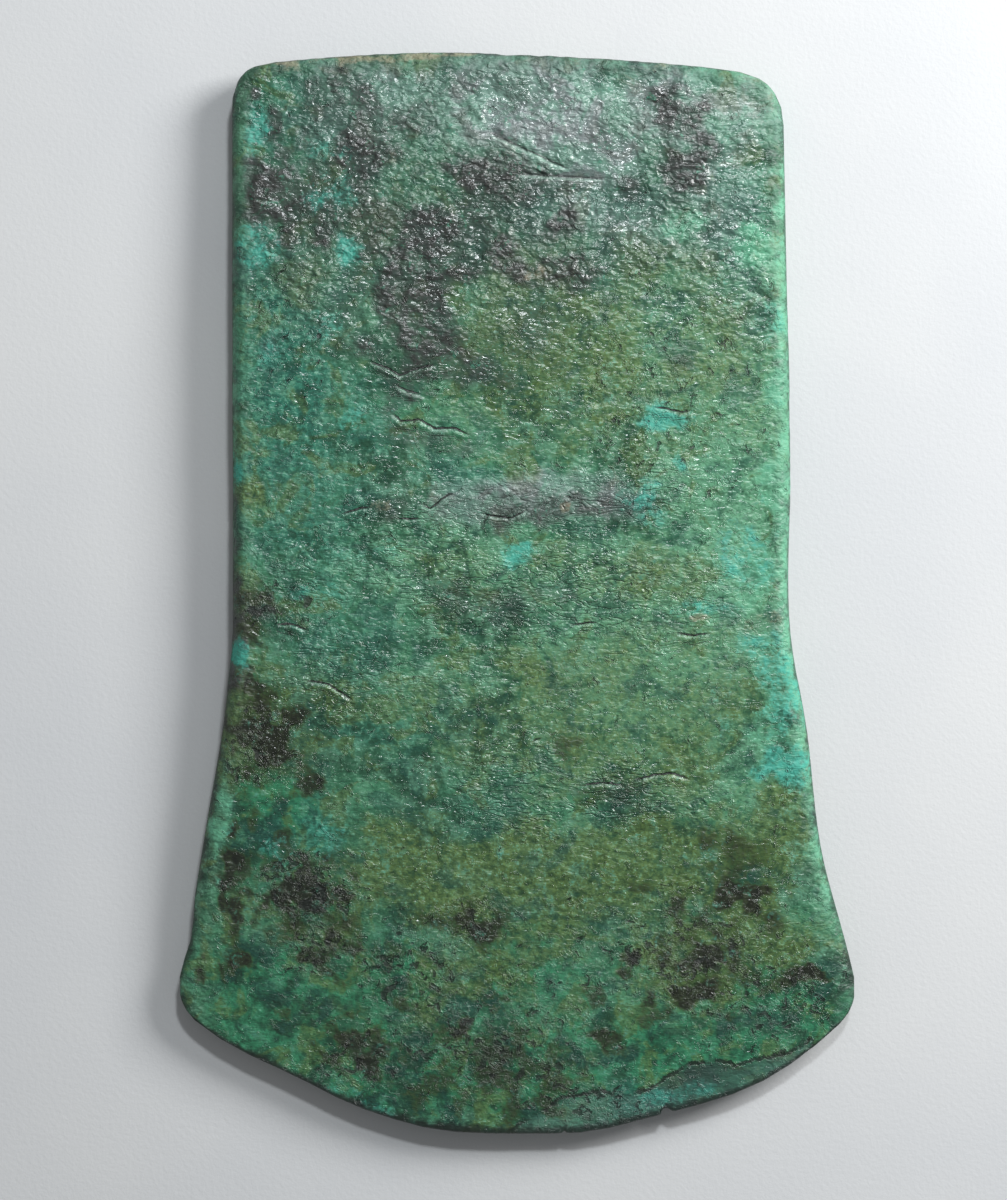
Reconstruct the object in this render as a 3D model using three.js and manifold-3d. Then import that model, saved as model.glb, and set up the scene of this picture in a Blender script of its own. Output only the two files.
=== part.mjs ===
// A copper flat axe head: one plate, cast and hammered, lying on its lower face.
// Millimetres, +Z up. The butt points to +Y and the cutting edge to -Y.
// The outline is measured from above, the thickness from the side.
import * as THREE from "three";
import { ConvexGeometry } from "three/addons/geometries/ConvexGeometry.js";
import { mergeVertices } from "three/addons/utils/BufferGeometryUtils.js";
import Module from "manifold-3d";

// Outline
const LENGTH = 190; // from the crown of the butt to the middle of the cutting edge
const BUTT_WIDTH = 96.8;
const WAIST_WIDTH = 98.6; // where the sides stop running straight and start to spread
const EDGE_WIDTH = 120.6; // across the cutting edge, before its corners are rounded
const FLARE_LENGTH = 66; // the stretch over which the sides spread
const FLARE_BEND = 1.45; // 1 spreads in a straight line, 2 in a deep curve
const BUTT_LEAN = -1.75; // the butt's middle stands this far to the side of the edge's
const BUTT_CROWN = 3.2; // the butt's corners lie this far below its crown
const BUTT_SLOPE = 0.7; // the butt's right corner is lower than its middle by this, the left higher
const EDGE_RISE = 23.5; // the cutting edge's corners lie this far above its middle
const LEFT_BUTT_CORNER = 7; // where the rounding of each corner starts, along both sides
const RIGHT_BUTT_CORNER = 9;
const EDGE_CORNER = 5;

// Thickness
const THICKNESS = 9; // of the flat middle
const BUTT_THICKNESS = 4.6;
const EDGE_THICKNESS = 1; // the corroded cutting edge
const BUTT_TAPER = 48; // the length that thins towards the butt
const EDGE_TAPER = 72; // the length that thins towards the cutting edge
const EDGE_SWELL = 1.75; // 1 thins in a straight line, 2 in a full round swell
const SIDE_FALL = 0.6; // each face falls by this from its flat middle to the sides
const FLAT_WIDTH = 49; // of each face's flat middle, which the tapers end
const HOLLOW = 0.3; // the lower face sank by this in casting, so its flat middle lies on its four corners
const SIDE_ROLL = 3.6; // the hammered round along the sides, seen from above
const BUTT_ROLL = 2.2;
const EDGE_ROLL = 0.9;

// Wear, which is worn back where its depth is positive and stands proud where it is negative
const SIDE_WEAR = [
  { side: -1, fromButt: 135, depth: -0.6, reach: 17 },
  { side: -1, fromButt: 155, depth: 0.7, reach: 4 },
  { side: 1, fromButt: 95, depth: 0.8, reach: 14 },
  { side: 1, fromButt: 119, depth: -0.4, reach: 8 },
  { side: 1, fromButt: 141, depth: 0.8, reach: 11 },
];
const EDGE_WEAR = [
  { across: -56, depth: -0.5, reach: 6 },
  { across: -39, depth: 1.1, reach: 8 },
  { across: -14, depth: -0.5, reach: 8 },
  { across: 13, depth: -0.6, reach: 7 },
  { across: 45, depth: -2, reach: 15 },
];

// Damage: chips in the cutting edge, a lip on the butt and two cut strokes near it
const EDGE_CHIPS = [
  { across: 26.6, width: 2.5, depth: 1.1, lean: -0.7 },
  { across: 8.3, width: 1.2, depth: 0.5, lean: 0 },
];
const BUTT_LIP = { across: -5, height: 0.5, blend: 5 };
const STROKE_WIDTH = 1;
const STROKE_DEPTH = 0.4;
const STROKE_TIP = 0.15; // each end of a stroke comes to a point over this share of its length
const STROKES = [
  { from: [-5.4, 14.2], to: [9.3, 20.8] }, // each end: across from the middle, down from the butt
  { from: [-0.3, 21.4], to: [15.8, 22.4] },
];

// Facets
const FACET = 4; // the length of a facet in the middle of a face
const OUTLINE_STEPS = 400; // samples along a side of the outline when its length is measured
const ROLL_STEPS = [0, 0.134, 0.5]; // where a roll's facets meet: the versines of 0, 30 and 60 degrees

const { lerp, clamp, smoothstep } = THREE.MathUtils;

/** One side of the outline, as a curve through the points that a formula gives. */
class Side extends THREE.Curve {
  constructor(formula) {
    super();
    this.formula = formula;
    this.arcLengthDivisions = OUTLINE_STEPS;
  }

  getPoint(t, target = new THREE.Vector2()) {
    return target.copy(this.formula(t));
  }

  /** The point this far along from the start, or from the end if the distance is negative. */
  at(distance) {
    const share = distance / this.getLength();
    return this.getPointAt(clamp(distance < 0 ? 1 + share : share, 0, 1));
  }
}

const cornerY = EDGE_RISE - LENGTH / 2;
const flareY = cornerY + FLARE_LENGTH;
const buttY = LENGTH / 2 - BUTT_CROWN;
const sideStart = (WAIST_WIDTH - FLAT_WIDTH) / 2; // from each side to the flat middle

/** How far the sides are from the middle line at a height. */
function halfWidth(y) {
  const down = (buttY - y) / (buttY - flareY);
  const straight = lerp(BUTT_WIDTH, WAIST_WIDTH, clamp(down, 0, 1)) / 2;
  const spread = clamp((flareY - y) / FLARE_LENGTH, 0, 1) ** FLARE_BEND;
  return straight + (spread * (EDGE_WIDTH - WAIST_WIDTH)) / 2;
}

/** How far a place is worn back, by stretches of wear that each fade over their reach. */
function worn(place, wear, placeOf) {
  return wear.reduce((sum, stretch) => {
    const away = (place - placeOf(stretch)) / stretch.reach;
    return sum + stretch.depth * Math.exp(-away * away);
  }, 0);
}

/** The left side (-1) or the right side (1), from the butt down to the cutting edge. */
function flank(side) {
  const wear = SIDE_WEAR.filter((stretch) => stretch.side === side);
  return new Side((t) => {
    const y = lerp(buttY - side * BUTT_SLOPE, cornerY, t);
    const lean = (BUTT_LEAN * (y - cornerY)) / (buttY - cornerY);
    const back = worn(LENGTH / 2 - y, wear, (stretch) => stretch.fromButt);
    return new THREE.Vector2(lean + side * (halfWidth(y) - back), y);
  });
}

const left = flank(-1);
const right = flank(1);

/** The butt, from its left corner to its right: a low crown, with a lip that stands proud on its left. */
const butt = new Side((t) => {
  const x = lerp(left.at(0).x, right.at(0).x, t);
  const across = 2 * t - 1;
  const crown = LENGTH / 2 - BUTT_CROWN * across * across - BUTT_SLOPE * across;
  const lip = 1 - smoothstep(x - BUTT_LIP.across, -BUTT_LIP.blend / 2, BUTT_LIP.blend / 2);
  return new THREE.Vector2(x, crown + BUTT_LIP.height * (lip - 1));
});

/** The cutting edge, from its left corner to its right: a worn arc of a circle. */
const edge = new Side((t) => {
  const half = EDGE_WIDTH / 2;
  const radius = (half * half + EDGE_RISE * EDGE_RISE) / (2 * EDGE_RISE);
  const across = (2 * t - 1) * half;
  const arc = radius - Math.sqrt(radius * radius - across * across);
  const back = worn(across, EDGE_WEAR, (stretch) => stretch.across);
  return new THREE.Vector2(across, arc + back - LENGTH / 2);
});

/** A rounded corner. Its bend starts a setback along the butt or edge and ends a setback along a flank. */
function corner(crossing, crossingEnd, flanking, flankingEnd, setback) {
  const away = (end) => (end === "start" ? setback : -setback);
  const from = crossing.at(away(crossingEnd));
  const tip = crossing.getPoint(crossingEnd === "start" ? 0 : 1);
  const to = flanking.at(away(flankingEnd));
  return { bend: new THREE.QuadraticBezierCurve(from, tip, to), setback };
}

const leftButt = corner(butt, "start", left, "start", LEFT_BUTT_CORNER);
const rightButt = corner(butt, "end", right, "start", RIGHT_BUTT_CORNER);
const leftEdge = corner(edge, "start", left, "end", EDGE_CORNER);
const rightEdge = corner(edge, "end", right, "end", EDGE_CORNER);

/** A side with its half of the rounded corners: the half before a bend's middle (-1) or after it (1). */
function rounded(side, start, end, half) {
  const onBend = (rounding, along) => rounding.bend.getPoint((1 + (half * along) / rounding.setback) / 2);
  return (share) => {
    const fromStart = share * side.getLength();
    const fromEnd = side.getLength() - fromStart;
    if (fromStart < start.setback) return onBend(start, fromStart);
    if (fromEnd < end.setback) return onBend(end, fromEnd);
    return side.at(fromStart);
  };
}

const border = {
  butt: rounded(butt, leftButt, rightButt, -1),
  edge: rounded(edge, leftEdge, rightEdge, -1),
  left: rounded(left, leftButt, leftEdge, 1),
  right: rounded(right, rightButt, rightEdge, 1),
};

/** The place on the plan at shares of the way from left to right and from butt to edge: a Coons patch. */
function plan(across, down) {
  const between = (a, b, share) => a.clone().lerp(b, share);
  const lengthways = between(border.butt(across), border.edge(across), down);
  const sideways = between(border.left(down), border.right(down), across);
  const top = between(border.butt(0), border.butt(1), across);
  const bottom = between(border.edge(0), border.edge(1), across);
  return lengthways.add(sideways).sub(between(top, bottom, down));
}

/** A roll's height, from 0 on the outline to 1 where the face begins. */
function roll(inwards, size) {
  const short = 1 - clamp(inwards / size, 0, 1);
  return Math.sqrt(1 - short * short);
}

/** Half the thickness at shares of the way from left to right and from butt to edge. */
function halfThickness(across, down) {
  const fromButt = down * LENGTH;
  const fromEdge = LENGTH - fromButt;
  const fromSide = Math.min(across, 1 - across) * WAIST_WIDTH;
  const beyondFlat = Math.max(0, sideStart - fromSide) / sideStart;
  const buttFall = ((THICKNESS - BUTT_THICKNESS) / 2) * Math.max(0, 1 - fromButt / BUTT_TAPER);
  const edgeFall = ((THICKNESS - EDGE_THICKNESS) / 2) * Math.max(0, 1 - fromEdge / EDGE_TAPER) ** EDGE_SWELL;
  const spine = THICKNESS / 2 - buttFall - edgeFall;
  const crossFall = (SIDE_FALL * beyondFlat ** 2 * spine) / (THICKNESS / 2);
  const rolls = roll(fromSide, SIDE_ROLL) * roll(fromButt, BUTT_ROLL) * roll(fromEdge, EDGE_ROLL);
  return (spine - crossFall) * rolls;
}

/** The lower face's hollow as a share of the half thickness: none at its flat middle's corners. */
function hollow(across, down) {
  const flatLength = LENGTH - BUTT_TAPER - EDGE_TAPER;
  const aside = clamp((WAIST_WIDTH * (2 * across - 1)) / FLAT_WIDTH, -1, 1);
  const along = clamp((2 * (down * LENGTH - BUTT_TAPER)) / flatLength - 1, -1, 1);
  return (HOLLOW / THICKNESS) * (2 - aside * aside - along * along);
}

/** Shares of a span where facets meet: close together in the rolls at its ends, then even stretches
 *  between the places where the face bends. */
function stations(span, startRoll, bends, endRoll) {
  const marks = [startRoll, ...bends, span - endRoll];
  const even = marks.slice(1).flatMap((mark, k) => {
    const cells = Math.max(1, Math.round((mark - marks[k]) / FACET));
    return Array.from({ length: cells }, (_, i) => lerp(marks[k], mark, (i + 1) / cells));
  });
  const start = ROLL_STEPS.map((step) => step * startRoll);
  const end = ROLL_STEPS.toReversed().map((step) => span - step * endRoll);
  return [...start, startRoll, ...even, ...end].map((place) => place / span);
}

/** The whole plate, its upper and lower faces meeting at half thickness along the outline. */
function plate() {
  const acrossAt = stations(WAIST_WIDTH, SIDE_ROLL, [sideStart, WAIST_WIDTH - sideStart], SIDE_ROLL);
  const downAt = stations(LENGTH, BUTT_ROLL, [BUTT_TAPER, LENGTH - EDGE_TAPER], EDGE_ROLL);
  const positions = [];
  const vertex = (face, i, j) => {
    const place = plan(acrossAt[i], downAt[j]);
    const kept = face > 0 ? 1 : 1 - hollow(acrossAt[i], downAt[j]);
    const z = THICKNESS / 2 + face * kept * halfThickness(acrossAt[i], downAt[j]);
    return [place.x, place.y, z];
  };
  for (const face of [1, -1])
    for (let j = 0; j + 1 < downAt.length; j++)
      for (let i = 0; i + 1 < acrossAt.length; i++) {
        const a = vertex(face, i, j);
        const b = vertex(face, i + 1, j);
        const c = vertex(face, i + 1, j + 1);
        const d = vertex(face, i, j + 1);
        positions.push(...(face > 0 ? [a, c, b, a, d, c] : [a, b, c, a, c, d]).flat());
      }
  return new THREE.BufferGeometry().setAttribute(
    "position",
    new THREE.Float32BufferAttribute(positions, 3),
  );
}

/** A wedge through the cutting edge, its tip inwards and to one side by its lean. */
function chipCutter({ across, width, depth, lean }) {
  const mouth = edge.getPoint(0.5 + across / EDGE_WIDTH);
  const widen = (1 + THICKNESS / depth) / 2; // the wedge runs out of the plate by the plate's thickness
  const points = [0, THICKNESS].flatMap((z) => [
    new THREE.Vector3(mouth.x + lean, mouth.y + depth, z),
    new THREE.Vector3(mouth.x + lean - (width + 2 * lean) * widen, mouth.y - THICKNESS, z),
    new THREE.Vector3(mouth.x + lean + (width - 2 * lean) * widen, mouth.y - THICKNESS, z),
  ]);
  return new ConvexGeometry(points);
}

/** A boat-shaped stroke cut into the upper face, deepest along its middle. */
function strokeCutter({ from, to }) {
  const onFace = ([x, fromButt]) => {
    const across = 0.5 + (x - BUTT_LEAN) / BUTT_WIDTH;
    const z = THICKNESS / 2 + halfThickness(across, fromButt / LENGTH);
    return new THREE.Vector3(x, LENGTH / 2 - fromButt, z);
  };
  const start = onFace(from);
  const end = onFace(to);
  const along = (share, rise, aside = 0) => {
    const place = start.clone().lerp(end, share);
    const sideways = new THREE.Vector3(end.y - start.y, start.x - end.x, 0).setLength(1);
    return place.addScaledVector(sideways, aside).add(new THREE.Vector3(0, 0, rise));
  };
  const above = 2 * STROKE_DEPTH; // the cutter stands clear of the face, widening at the same slope
  const halfMouth = (STROKE_WIDTH / 2) * (1 + above / STROKE_DEPTH);
  const ribs = [STROKE_TIP, 1 - STROKE_TIP].flatMap((share) => [
    along(share, -STROKE_DEPTH),
    along(share, above, -halfMouth),
    along(share, above, halfMouth),
  ]);
  return new ConvexGeometry([along(0, above), along(1, above), ...ribs]);
}

const wasm = await Module();
wasm.setup();

/** A closed geometry as a solid that can be cut. */
function solid(geometry) {
  const bare = geometry.clone();
  bare.deleteAttribute("normal");
  bare.deleteAttribute("uv");
  const merged = mergeVertices(bare, 1e-3);
  return new wasm.Manifold(
    new wasm.Mesh({
      numProp: 3,
      vertProperties: merged.attributes.position.array,
      triVerts: new Uint32Array(merged.index.array),
    }),
  );
}

/** A solid as a geometry, its box centred over the origin and its lowest face at Z = 0. */
function geometryOf(made) {
  const { numProp, vertProperties, triVerts } = made.getMesh();
  const geometry = new THREE.BufferGeometry();
  geometry.setAttribute("position", new THREE.BufferAttribute(vertProperties, numProp));
  geometry.setIndex(new THREE.BufferAttribute(triVerts, 1));
  geometry.computeBoundingBox();
  const { min, max } = geometry.boundingBox;
  geometry.translate(-(min.x + max.x) / 2, -(min.y + max.y) / 2, -min.z);
  geometry.computeVertexNormals();
  return geometry;
}

const cutters = [...EDGE_CHIPS.map(chipCutter), ...STROKES.map(strokeCutter)];
const axeSolid = cutters.reduce((rest, cutter) => rest.subtract(solid(cutter)), solid(plate()));

const patina = new THREE.MeshStandardMaterial({ color: 0x3f7a5c, metalness: 0.1, roughness: 0.55 });
const axeHead = new THREE.Mesh(geometryOf(axeSolid), patina);
axeHead.name = "axe_head";

const axe = new THREE.Group();
axe.add(axeHead);
export default axe;
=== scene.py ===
# A copper flat axe head lying on a pale floor, with the relief and the patina of its corroded surface.
# Metres, +Z up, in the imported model's frame: the butt points to +Y and the cutting edge to -Y.
# The surface is worked out in millimetres and turned into metres when its mesh is made.
import math

import bmesh
import bpy
import numpy as np
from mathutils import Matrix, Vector
from mathutils.bvhtree import BVHTree


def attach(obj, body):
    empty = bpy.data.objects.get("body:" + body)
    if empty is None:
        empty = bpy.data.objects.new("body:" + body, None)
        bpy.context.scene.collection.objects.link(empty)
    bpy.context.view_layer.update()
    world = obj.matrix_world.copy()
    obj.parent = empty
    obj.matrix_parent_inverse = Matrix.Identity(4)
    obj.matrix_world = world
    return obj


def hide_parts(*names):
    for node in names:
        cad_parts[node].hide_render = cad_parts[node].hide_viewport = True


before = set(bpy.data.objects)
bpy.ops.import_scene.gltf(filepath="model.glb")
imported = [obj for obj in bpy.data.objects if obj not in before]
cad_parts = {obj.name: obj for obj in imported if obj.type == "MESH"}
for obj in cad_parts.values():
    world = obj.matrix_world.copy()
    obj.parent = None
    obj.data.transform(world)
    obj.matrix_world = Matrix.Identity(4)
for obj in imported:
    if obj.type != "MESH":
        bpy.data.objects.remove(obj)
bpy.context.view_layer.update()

MM = 0.001

# The plate's form, as the solid has it, in millimetres
LENGTH = 190.0
WIDTH = 98.6
MIDDLE = 4.5  # the height at which the upper and the lower face meet along the outline
JUST_ABOVE = 0.002  # the outline is cut this far above the middle, clear of the solid's own points
SIDE_ROLL = 3.6
BUTT_ROLL = 2.2
EDGE_ROLL = 0.9
ROLL_POWER = 2.5  # 2 is a round, more is squarer

# The mesh
ROLL_STEPS = 6
CELLS_ACROSS = 184  # between the side rolls
CELLS_FINE = 142  # over the leathery butt end
CELLS_COARSE = 228  # over the smoother rest
FINE_LENGTH = 60.0
FORM_BLUR = 2.6  # evens out the solid's facets
CAST_HEIGHT = 1.0  # metres above or below the plate from which its faces are read
ROLL_MARGIN = 0.3  # the solid's height is read no nearer to a roll than this
EDGE_MARGIN = 0.5  # and no nearer to the cutting edge's roll than this
SLOPE_ROWS = 3  # rows that give the slope which is carried on to the cutting edge
RIM_REACH = 12.0  # how far in the distances to the rims are kept
THIN_BODY = 0.25  # relief keeps a little of its height even where the plate thins out to nothing
FULL_BODY = 1.6  # and all of it where the plate is this thick on each side of its middle

WRINKLE_STRETCH = np.array([0.45, 1.0, 1.0])  # wrinkles run across the plate

# How far each kind of relief stands out, in millimetres; below zero it is sunk in
RELIEF = {
    "swell": 0.16, "low_swell": 0.05, "leather": 0.15, "fine": 0.022, "fold": -0.13, "pit": -0.22,
    "large_pit": -0.2, "umber": -0.07, "dusk": 0.04, "crack": -0.16, "crack_lip": 0.1, "stroke": -0.34,
    "scar": -0.3,
}

# Stains of the photographed face: x, y, half width, half height, turn in degrees, strength
DUSK = [
    (-42.5, 70.8, 6.5, 6.2, 0, 1), (-40.7, 62.5, 3, 2.8, 20, 0.95), (-34, 62, 2.2, 3.6, 0, 0.9),
    (-43, 83, 1.8, 4.5, 0, 0.8), (-36, 88.5, 1.8, 3, 0, 0.6), (-31.5, 88.5, 1.8, 3, 0, 0.65),
    (-27, 87.5, 4.5, 5, 0, 0.7), (-20, 84, 5, 6, 0, 0.55), (-28, 77.5, 6, 3.6, -25, 0.85),
    (-37, 82, 4, 6, 0, 0.42), (-22, 78, 4.5, 4, 0, 0.65), (-6, 73.5, 7, 4.2, 0, 1),
    (-8.5, 76.5, 4.5, 2, 0, 0.6), (-2, 58.5, 5, 4.6, 0, 0.8), (3, 55, 8, 2.5, 0, 0.6),
    (26, 83, 3.4, 3.4, 0, 1), (29.5, 75, 4.4, 5.5, 20, 0.9), (19, 72, 3.5, 2.6, -30, 0.65),
    (8, 64.6, 3.8, 2.6, 0, 0.9), (9.5, 56, 6, 3.4, -20, 0.75), (-17.8, 58.5, 4.6, 9, 0, 0.85),
    (-25.5, 60, 3, 3.4, 0, 0.6), (-15, 46, 7, 6, 0, 0.7), (-21.5, 48, 4, 3, 0, 0.75),
    (-12, 39, 12.5, 2.5, 0, 0.6), (28.5, 61, 2.5, 2, 0, 0.45), (-46.5, 88, 1.4, 1.4, 0, 1),
    (3, 15, 19, 3.5, 0, 0.62), (-4, -1.5, 11.5, 4, 0, 0.5), (-49.4, -6.5, 2.2, 13, 0, 1),
    (-43.5, 43, 3, 2, 0, 0.5), (28.5, 39.5, 2, 2, 0, 0.4), (41, -6, 3.5, 2, 0, 0.45),
    (-2, 89, 10, 4, 0, 0.5), (-15.5, 27, 10.5, 2, -10, 0.45), (16.5, -34.5, 7, 2.5, 0, 0.45),
    (-8, 66, 4, 3, 30, 0.5), (12, 80, 7, 3, -20, 0.35), (-36, 69, 12, 9, 0, 0.65),
    (-17.5, 52, 8, 17, 0, 0.85), (2, 70, 10, 3.5, 0, 0.7), (-3, 64, 13, 10, 0, 0.52),
    (-32, 84, 10, 7, 0, 0.45), (-24, 66, 7, 7, 0, 0.55), (0, 44, 8, 7, 0, 0.4),
    (30.5, 82, 3.6, 6, 10, 0.85), (-46, -1, 3.5, 4.5, 0, 0.8), (27, 68, 5, 3, 0, 0.45),
]
UMBER = [
    (-45.5, -24.5, 7.5, 6.5, 0, 0.8), (-42.5, -24, 3.5, 4, 0, 1), (-35, -33.5, 2, 2, 0, 0.7),
    (-49.9, -47, 1.5, 3.4, -3, 1), (-50.4, -41.5, 1.1, 2.6, -8, 0.75), (-51.7, -53.5, 1.9, 3, 0, 1),
    (-53.8, -53.5, 0.6, 0.8, 0, 0.9), (-46.5, -40, 1.4, 2, 0, 0.45), (-40.5, -43.5, 2, 1.6, 30, 0.6),
    (-48.7, -56, 1.5, 2, 0, 0.85), (-49, -65.2, 3, 1.9, 0, 1), (-49, -60.5, 1.3, 4, 0, 0.6),
    (-37.5, -52.3, 6.2, 4.2, 0, 1), (-34.2, -60, 3.2, 2.2, -20, 0.9), (-37.7, -64, 2.4, 1.9, 0, 0.75),
    (-39, -58.5, 3.5, 2.5, 0, 0.55), (-29, -78.6, 2.6, 2.4, -30, 0.9), (-26, -82, 2.3, 2, 0, 1),
    (-29, -73.8, 2.6, 1.4, 0, 0.6), (-7.5, -58.5, 3, 3.2, 0, 0.75), (33, -65, 3.4, 4, 0, 0.9),
    (30.5, -70, 4.4, 2.2, 0, 0.9), (19.8, -64.3, 1.8, 1.7, 0, 1), (28.5, -55, 1.8, 3.5, 0, 0.65),
    (39, -52.7, 3.4, 3.4, 0, 1), (52, -66.8, 2.6, 1.5, 0, 1), (47.5, -67, 2, 1.2, 0, 0.7),
    (-37.5, -52, 8, 6, 0, 0.6), (-50, -50, 3, 9, 0, 0.6), (-33, -60, 5, 5, 0, 0.6), (-27, -80, 6, 4, 0, 0.6),
    (32, -66, 7, 6, 0, 0.55), (38, -50, 5, 7, 0, 0.5), (-4, -82, 9, 7, 0, 0.45), (-8, -58, 5, 4, 0, 0.5),
    (16.5, -78.5, 2.5, 1.8, 0, 0.7), (-10.2, -75.6, 1.5, 2.2, 0, 0.85), (-44, -1, 4.5, 2, -20, 0.6),
    (33, -41.5, 2.5, 3, 0, 0.5), (8, -27, 2.5, 2.5, 0, 0.5), (21.5, -50.5, 1.5, 1.5, 0, 0.55),
    (-2, -71.5, 1.5, 1, 0, 0.55), (-55.4, -65.3, 0.7, 2, 0, 0.7), (-3.5, -83, 4, 4.5, 0, 0.6),
    (8, -86, 4, 2.5, 0, 0.5), (-14, -87, 5, 2.5, 0, 0.5), (2, -90, 6, 1.6, 0, 0.55),
    (-20, -72, 2, 1.6, 0, 0.5), (-41, -74, 2, 1.2, 0, 0.45), (13, -71, 2.2, 1.4, 0, 0.5),
    (44, -58, 2, 2, 0, 0.5), (24, -74, 2, 1.5, 0, 0.5), (-33, -50, 3, 5, 0, 0.5), (-44, -20, 3, 2, 0, 0.7),
    (38, -46, 2, 3, 0, 0.5), (42, -68, 3, 2, 0, 0.5), (-47, -8, 2, 3.5, 0, 0.65), (-46.5, -16, 3, 4, 0, 0.75),
]
OLIVE = [
    (8, 42, 22, 18, 0, 0.65), (32, 42, 14, 18, 0, 0.5), (22, -22, 26, 20, 0, 0.5), (-2, -22, 16, 14, 0, 0.5),
    (12, -50, 26, 11, 0, 1), (-14, -50, 14, 8, 0, 0.9), (0, -62, 14, 5, 0, 0.6), (40, -60, 10, 7, 0, 0.9),
    (-24, -66, 7, 5, 0, 0.6), (-14, -80, 5, 3, 0, 0.6), (-36, -72, 8, 3, 0, 0.45), (21, 58, 5, 5, 0, 0.9),
    (32, -65, 11, 8, 0, 1), (-48, -33, 4, 4, 0, 1), (-45, -25, 9, 9, 0, 0.9), (38, -50, 8, 9, 0, 0.9),
    (46, -42, 5, 10, 0, 0.9), (-34, -18, 9, 5, 0, 0.5), (-27, 62, 8, 8, 0, 0.4), (-38, 55, 5, 4, 0, 0.6),
    (-50, -60, 2, 5, 0, 0.7), (-8, -67, 12, 4, 0, 0.8), (-16, -73, 5, 5, 0, 0.7), (-11, -79, 3, 4, 0, 0.8),
    (48, -27, 4, 5, 0, 0.4), (8, -82, 6, 3, 0, 0.5), (26, -84, 5, 2, 0, 0.5), (-12, 5, 9, 5, 0, 0.55),
    (-46, 18, 2.5, 4, 0, 0.6), (16, 4, 14, 7, 0, 0.5), (2, 70, 22, 6, 0, 0.3), (36, -72, 8, 3, 0, 0.7),
    (-34, -57, 8, 8, 0, 0.7), (24, -44, 14, 6, 0, 0.9), (-20, -42, 8, 4, 0, 0.6),
]
TEAL = [
    (-41, 33, 9, 30, 0, 0.75), (-27, 30, 7, 8, 0, 0.6), (-34, 12, 12, 14, 0, 0.6), (-46, 81, 3, 7, 0, 0.9),
    (-38, 84, 12, 10, 0, 0.6), (10, 69, 12, 4, 0, 0.5), (38, 60, 6, 14, 0, 0.6), (33, 74, 8, 8, 0, 0.5),
    (30, -2, 13, 3, 0, 0.6), (1, 7.5, 7, 3, 0, 0.7), (22, 15, 5, 4, 0, 0.6), (-38, -40, 9, 8, 0, 0.85),
    (-37, -53, 9, 8, 0, 0.5), (1, -63, 7, 4, 0, 0.5), (22, -54, 6, 5, 0, 0.5), (46, -60, 5, 4, 0, 0.5),
    (-15, -86, 12, 4, 0, 0.4), (14, -85, 14, 4, 0, 0.4), (-20, -62, 10, 5, 0, 0.4), (-32, -8, 14, 10, 0, 0.5),
    (-22, -24, 14, 6, 0, 0.5), (-6, -36, 10, 9, 0, 0.45), (36, 20, 7, 8, 0, 0.4), (28, 20, 20, 5, 0, 0.2),
    (-3, 20, 16, 4, 0, 0.6), (-18, 90, 30, 3, 0, 0.3), (20, 90, 20, 4, 0, 0.4), (24, -89, 10, 3, 0, 0.8),
]
ENAMEL = [
    (-45, -38, 9, 10, 0, 0.8), (-44, -72, 14, 10, 0, 1), (-22, -82, 20, 9, 0, 0.9), (0, -82, 26, 11, 0, 0.9),
    (28, -80, 22, 8, 0, 0.9), (46, -74, 14, 8, 0, 0.8), (-25, -68, 14, 8, 0, 0.8), (6, -68, 18, 6, 0, 0.6),
    (40, -49, 3.5, 3, 0, 1), (-36, -50, 12, 12, 0, 0.5), (-49, 40, 4, 26, 0, 0.35), (0, -60, 12, 5, 0, 0.5),
]
POWDER = [
    (-43, 42, 3, 3, 0, 0.35), (-28, 30.5, 3, 2, 0, 0.5), (24.5, 30.6, 3, 2, 0, 1),
    (28.5, 30.6, 3, 1.6, -10, 1), (28.2, 23, 1.2, 1.2, 0, 1), (-48.7, -10.5, 1.8, 1.8, 0, 1),
    (1.5, 7, 3.4, 1.8, 0, 0.9), (46, -16.5, 4, 7, 10, 0.6), (43, -10, 5, 2.5, 0, 0.5),
    (36.5, -24, 1.5, 1.5, 0, 0.5), (22, 15.5, 3.5, 2.5, 0, 0.6), (32, -2.5, 6, 1.2, 0, 0.5),
    (-49, 21, 1, 2.5, 0, 0.8), (-33, 77, 3, 1.5, 0, 0.3), (-33, 47, 3, 3, 0, 0.35), (45, 50, 2.5, 5, 0, 0.3),
    (-26, -90, 10, 1.5, -20, 0.3), (28, -88, 7, 1.5, 15, 0.6), (40, 6, 5, 5, 0, 0.45),
    (-29.5, 60, 1.6, 3.4, 0, 0.6), (-32.5, 70, 4, 2.8, 0, 0.4), (-45, 60.5, 3, 3.6, 0, 0.5),
    (-45.6, 82, 1.8, 4, 0, 0.5), (47.3, -30, 3.4, 3.6, 20, 1), (44, -31, 3, 1.8, 0, 0.8),
    (46.5, -22, 2.5, 4, 0, 0.55), (-42, -45, 3, 2, 0, 0.4), (-32, -43, 5, 3, 0, 0.35),
    (-25, 8, 8, 2, 10, 0.2), (-36, 0, 5, 2, 0, 0.4),
]
# Pale green along the rims and in a few patches: partly the patina's colour, partly painted light where the
# rolled rims catch the light
MINT_AND_RIM_LIGHT = [
    (48, 70, 2.6, 20, 0, 0.95), (48, 35, 3, 40, 0, 1), (48, 0, 3.4, 30, 4, 1), (43, 4, 4, 6, 0, 0.85),
    (41.5, 60.5, 4, 2.6, 0, 0.8), (46, 20, 4, 12, 0, 0.6), (44, -20, 4, 6, 0, 0.5), (30, 64.5, 7, 2, 0, 0.5),
    (50, -17, 2.5, 9, 8, 0.8), (-49.5, 28, 1, 16, 0, 0.4), (-52.5, -42, 1.5, 10, -6, 0.8),
    (53, -45, 1.6, 12, 12, 0.6), (45, 40, 5, 5, 0, 0.35),
]
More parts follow.
